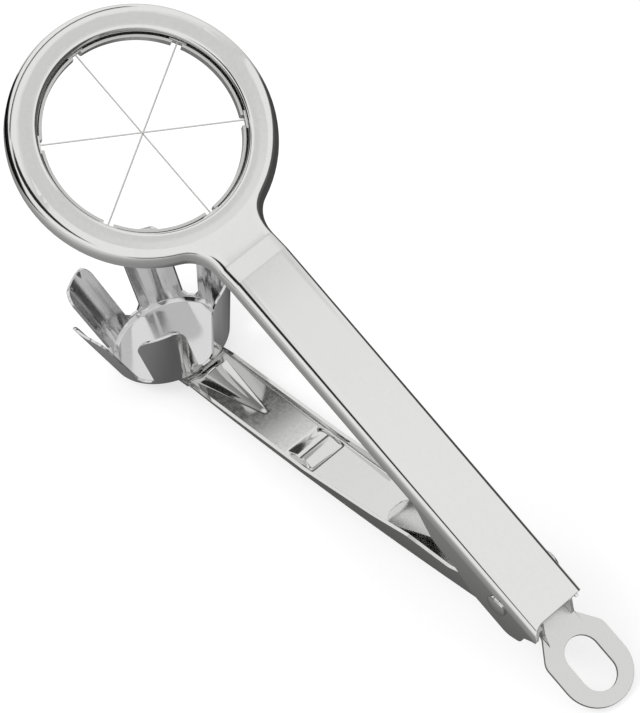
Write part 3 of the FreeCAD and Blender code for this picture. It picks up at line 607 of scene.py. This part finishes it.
def rim_profile():
    """Closed section of the rim: level from the flat's edge, then a quarter circle down to the
    hole, distance = radius + roll - roll sin t, height = top - roll + roll cos t. It is closed
    inside the sheet."""
    top = RING_TOP + RIM_LIFT
    turn = np.linspace(0, math.pi / 2, RIM_STEPS)
    distance = RIM_RADIUS + RIM_ROLL - RIM_ROLL * np.sin(turn)
    roll = np.stack((distance, top - RIM_ROLL + RIM_ROLL * np.cos(turn)), axis=-1)
    level = np.array([[RIM_OUT, top], [(RIM_OUT + RIM_RADIUS + RIM_ROLL) / 2, top]])
    return np.concatenate((level, roll, np.array(RIM_HIDDEN), level[:1]))


# Web of the lower arm, with the cross rib and the tapered bead pressed up out of it. RIB is its
# place, half length, rise and the half width up to which it is full. BEAD is its point, its head,
# and its half width and height there.

BELLY = ((-128.0, -9.9), (-75.0, -11.4), (-12.0, -8.4))
SHEET = 1.0
WEB_ENDS = (-127.2, -53.0)
WEB_HALF_WIDTH = 6.08
WEB_LIFT = 0.09
WEB_SKIN = 0.5
WEB_FADE = 22.0
RIB = (-82.8, 5.6, 1.28, 4.7)
BEAD = (-102.2, -123.7, 4.2, 1.3)
BEAD_TIP = 0.6
BEAD_STEP = 0.12
BEAD_STEP_RUN = 0.1
BEAD_HEAD_FALL = (0.1, 3.2)
ARCH_POWER = 1.2
WEB_ROWS = 330
WEB_COLUMNS = 61


def belly_circle():
    """Centre and radius of the circle through the belly's three points."""
    (ax, az), (bx, bz), (cx, cz) = BELLY
    lines = np.array([[bx - ax, bz - az], [cx - ax, cz - az]])
    squares = np.array([bx**2 - ax**2 + bz**2 - az**2, cx**2 - ax**2 + cz**2 - az**2]) / 2
    x, z = np.linalg.solve(lines, squares)
    return x, z, math.hypot(ax - x, az - z)


def web_level(x):
    """Top of the lower web, z = centre z - sqrt(radius^2 - (x - centre x)^2)."""
    centre_x, centre_z, radius = belly_circle()
    return centre_z - np.sqrt((radius - SHEET) ** 2 - (x - centre_x) ** 2)


def smooth_step(low, high, value):
    """0 up to low, 1 from high, and 3 s^2 - 2 s^3 between them."""
    share = np.clip((value - low) / (high - low), 0, 1)
    return share * share * (3 - 2 * share)


def pressed_height(x, y):
    """Height of the pressed forms over the web. Rib: height (1 - (dx / half)^2)^2, let down
    towards the walls. Bead: a tapered arch, height (1 - (y / half width)^2)^1.2, whose height
    and half width grow with the distance from its point, let down at its head."""
    place, half, rise, full = RIB
    rib = rise * np.clip(1 - ((x - place) / half) ** 2, 0, 1) ** 2
    rib *= 1 - smooth_step(full, WEB_HALF_WIDTH, np.abs(y))
    point, head, width, height = BEAD
    along = np.clip((point - x) / (point - head), 0, None)
    arch = np.clip(1 - (y / (width * along + BEAD_TIP)) ** 2, 0, 1) ** ARCH_POWER
    bead = (height * along + BEAD_STEP * smooth_step(0, BEAD_STEP_RUN, along)) * arch
    bead *= 1 - smooth_step(*BEAD_HEAD_FALL, head - x)
    return rib + bead


def web_mesh():
    """Skin over the web: z = web level + pressed height + a lift that ends before the skin
    does, closed by the same surface a little below it."""
    x, y = np.meshgrid(
        np.linspace(*WEB_ENDS, WEB_ROWS),
        np.linspace(-WEB_HALF_WIDTH, WEB_HALF_WIDTH, WEB_COLUMNS),
        indexing="ij",
    )
    lift = WEB_LIFT * (1 - smooth_step(WEB_ENDS[1] - WEB_FADE, WEB_ENDS[1] - 1, x))
    top = web_level(x) + pressed_height(x, y) + lift
    upper = np.stack((x, y, top), axis=-1)
    lower = np.stack((x, y, top - WEB_SKIN), axis=-1)
    ring = np.concatenate((upper, lower[:, ::-1]), axis=1)
    start = np.concatenate((upper[:1], upper[:1, ::-1]), axis=1)
    end = np.concatenate((upper[-1:], upper[-1:, ::-1]), axis=1)
    closed = np.concatenate((start, ring, end), axis=0)
    points = placed(closed.reshape(-1, 3), HINGE, LOWER_X, ARM_Y, LOWER_Z)
    return grid_mesh("web_pressing", points.reshape(*closed.shape), around=True)


# Leaf spring: one strip from under the handle, round the pin and down to the lower web. LEAF_HUMP
# and LEAF_FOOT end in the radius of their bend, and the foot's second value is above the web.

EYE = 2.3
LEAF_GAUGE = 0.6
LEAF_TOP = (-40.0, 4.1)
LEAF_HUMP = (-26.0, 0.6, 18.0)
LEAF_FOOT = (-48.5, 0.9, 4.0)
LEAF_TOE = 2.0
LEAF_NARROW = 3.8
LEAF_WIDE = 5.0
LEAF_WIDENS = (-42.0, -12.0)
LEAF_CORNER = 4.5
LEAF_STEPS = 320
LEAF_EDGE = 0.14
LEAF_TOE_RISE = 0.1
LEAF_EYE_END = -2.9
EYE_STEPS = 48
BEND_STEPS = 16
EDGE_STEPS = 4


def unit(vector):
    """The vector over its own length."""
    return vector / np.linalg.norm(vector)


def rounded_corner(before, corner, after, radius):
    """Points of the arc tangent to both sides of a corner."""
    back = unit(np.subtract(before, corner))
    ahead = unit(np.subtract(after, corner))
    half = math.acos(np.clip(back @ ahead, -1, 1)) / 2
    reach = radius / math.tan(half)
    centre = np.add(corner, unit(back + ahead) * radius / math.sin(half))
    start = np.add(corner, back * reach) - centre
    end = np.add(corner, ahead * reach) - centre
    turn = math.atan2(start[0] * end[1] - start[1] * end[0], start @ end)
    angle = np.linspace(0, turn, BEND_STEPS)[:, None]
    side = np.array([-start[1], start[0]])
    return centre + start * np.cos(angle) + side * np.sin(angle)


def leaf_path():
    """Inner line of the strip in the lower arm's frame: straight from the top to the eye, an arc
    of the eye's radius about the pin, then two rounded bends to the toe. Gives evenly spaced
    points (x, z), and which of them come before the eye."""
    top = (
        LEAF_TOP[0] * math.cos(OPEN_ANGLE) + LEAF_TOP[1] * math.sin(OPEN_ANGLE),
        LEAF_TOP[1] * math.cos(OPEN_ANGLE) - LEAF_TOP[0] * math.sin(OPEN_ANGLE),
    )
    foot = (LEAF_FOOT[0], float(web_level(LEAF_FOOT[0])) + LEAF_FOOT[1])
    toe = (LEAF_FOOT[0] - LEAF_TOE, foot[1] + LEAF_TOE_RISE)
    hump = LEAF_HUMP[:2]
    touch_in = math.atan2(top[1], top[0]) - math.acos(EYE / math.hypot(*top))
    touch_out = math.atan2(hump[1], hump[0]) + math.acos(EYE / math.hypot(*hump)) - 2 * math.pi
    angle = np.linspace(touch_in, touch_out, EYE_STEPS)
    eye = EYE * np.stack((np.cos(angle), np.sin(angle)), axis=-1)
    line = np.concatenate(
        (
            [top],
            eye,
            rounded_corner(eye[-1], hump, foot, LEAF_HUMP[2]),
            rounded_corner(hump, foot, toe, LEAF_FOOT[2]),
            [toe],
        )
    )
    run = np.concatenate(([0], np.cumsum(np.linalg.norm(np.diff(line, axis=0), axis=1))))
    even = np.linspace(0, run[-1], LEAF_STEPS)
    path = np.stack((np.interp(even, run, line[:, 0]), np.interp(even, run, line[:, 1])), axis=-1)
    return path, even < run[1]


def leaf_mesh():
    """A rounded oblong carried along the strip's line, point = line + depth outward + across Y.
    Its half width is the narrow one down to the pin, grows to the wide one along the foot leg
    and follows a circle at the toe, half width = wide - corner + sqrt(corner^2 - d^2)."""
    path, on_top = leaf_path()
    heading = np.gradient(path, axis=0)
    heading /= np.linalg.norm(heading, axis=1)[:, None]
    outward = np.stack((-heading[:, 1], heading[:, 0]), axis=-1)
    half = np.interp(path[:, 0], LEAF_WIDENS, (LEAF_WIDE, LEAF_NARROW))
    into = np.clip(path[-1, 0] + LEAF_CORNER - path[:, 0], 0, LEAF_CORNER)
    half = half - LEAF_CORNER + np.sqrt(LEAF_CORNER**2 - into**2)
    half = np.where(on_top | (path[:, 0] > LEAF_EYE_END), LEAF_NARROW, half)
    turn = np.linspace(0, math.pi / 2, EDGE_STEPS)
    corner = np.concatenate([turn + step * math.pi / 2 for step in range(4)])
    side = np.repeat((1, -1, -1, 1), EDGE_STEPS)
    level = np.repeat((1, 1, -1, -1), EDGE_STEPS)
    across = side[None, :] * (half[:, None] - LEAF_EDGE) + LEAF_EDGE * np.cos(corner)
    rise = LEAF_GAUGE / 2 - LEAF_EDGE
    depth = LEAF_GAUGE / 2 + level * rise + LEAF_EDGE * np.sin(corner) + 0 * across
    x = path[:, :1] + outward[:, :1] * depth
    z = path[:, 1:] + outward[:, 1:] * depth
    rows = np.stack((x, across, z), axis=-1)
    ends = 0 * rows[[0, -1]] + rows[[0, -1]].mean(axis=1, keepdims=True)
    closed = np.concatenate((ends[:1], rows, ends[1:]))
    points = placed(closed.reshape(-1, 3), HINGE, LOWER_X, ARM_Y, LOWER_Z)
    return grid_mesh("spring_strip", points.reshape(*closed.shape), around=True)


marks = sheet_marks()
ring_steel = steel("ring_arm_steel", marks, (0.78, 0.78, 0.77), 0.06, 0.05)
lower_steel = steel("lower_arm_steel", marks, (0.72, 0.72, 0.71), 0.06, 0.05)
rivet_steel = steel("rivet_steel", marks, (0.68, 0.68, 0.67), 0.06, 0.05)
cup_steel = steel("cup_steel", marks, (0.70, 0.70, 0.70), 0.08, 0.06, waves=CUP_WAVES)
carrier_steel = steel("carrier_steel", marks, (0.62, 0.62, 0.61), 0.26, 0.10, grain=SATIN_GRAIN)
tab_steel = steel("tab_steel", marks, (0.70, 0.70, 0.69), 0.26, 0.10, grain=SATIN_GRAIN)
spring_steel = steel("spring_steel", marks, (0.66, 0.66, 0.65), 0.2, 0.08)
wire_steel = steel("wire_steel", marks, (0.75, 0.75, 0.74), 0.3, 0.1)

# Name, CAD node, body, slot, finish and width of the eased edge
EASED = (
    ("pressed_ring_arm", "upper_arm", "press", "ring_arm_steel", ring_steel, 0.12),
    ("channel_arm", "lower_arm", "base", "lower_arm_steel", lower_steel, 0.12),
    ("petal_cup", "egg_cup", "base", "cup_steel", cup_steel, 0.12),
    ("wire_strip", "wire_carrier", "press", "carrier_steel", carrier_steel, 0.08),
    ("hanging_tab", "lock_slide", "tab", "tab_steel", tab_steel, 0.12),
)
for name, source, body, slot, finish, edge in EASED:
    eased_copy(name, source, body, slot, finish, edge)

# The leaf rides on no body: it runs between the arms across the pin and stays where it is built
strip = closed_and_smooth(leaf_mesh(), ROUND_SMOOTH)
leaf = finished("spring_strip", strip, None, "spring_steel", spring_steel, "leaf_spring")
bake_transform(leaf)

# The wires and their anchors keep their CAD meshes
for source in ("wire_axial", "wire_near", "wire_far", "wire_anchors"):
    mesh = nodes[source].data
    mesh.materials.clear()
    mesh.materials.append(wire_steel)

pin = turned_mesh("hinge_rivet", pin_profile(), HINGE, ARM_Y, ARM_X)
pin = closed_and_smooth(pin, ROUND_SMOOTH)
finished("hinge_rivet", pin, "press", "rivet_steel", rivet_steel, "hinge_pin")

ring_centre = arm_point(-RING_DISTANCE, 0, 0)
rim = turned_mesh("ring_rim", rim_profile(), ring_centre, ARM_Z, ARM_X, steps=RIM_TURN_STEPS)
rim = closed_and_smooth(rim, ROUND_SMOOTH)
finished("ring_rim", rim, "press", "ring_arm_steel", ring_steel)

cup_axis = LOWER_X * math.sin(CLOSED_ANGLE) + LOWER_Z * math.cos(CLOSED_ANGLE)
rivet = turned_mesh("floor_rivet", cup_rivet_profile(), CUP_FLOOR, cup_axis, ARM_Y)
rivet = closed_and_smooth(rivet, ROUND_SMOOTH)
finished("floor_rivet", rivet, "base", "rivet_steel", rivet_steel, "cup_rivet")

web = closed_and_smooth(web_mesh(), WEB_SMOOTH)
finished("web_pressing", web, "base", "lower_arm_steel", lower_steel)

add_camera()
add_world()
add_floor()
add_softbox("key", (-0.6, -0.9, 1.3), (0.08, 0, 0.05), 0.9, 0.9, 8)

bpy.context.scene.view_settings.view_transform = "Standard"
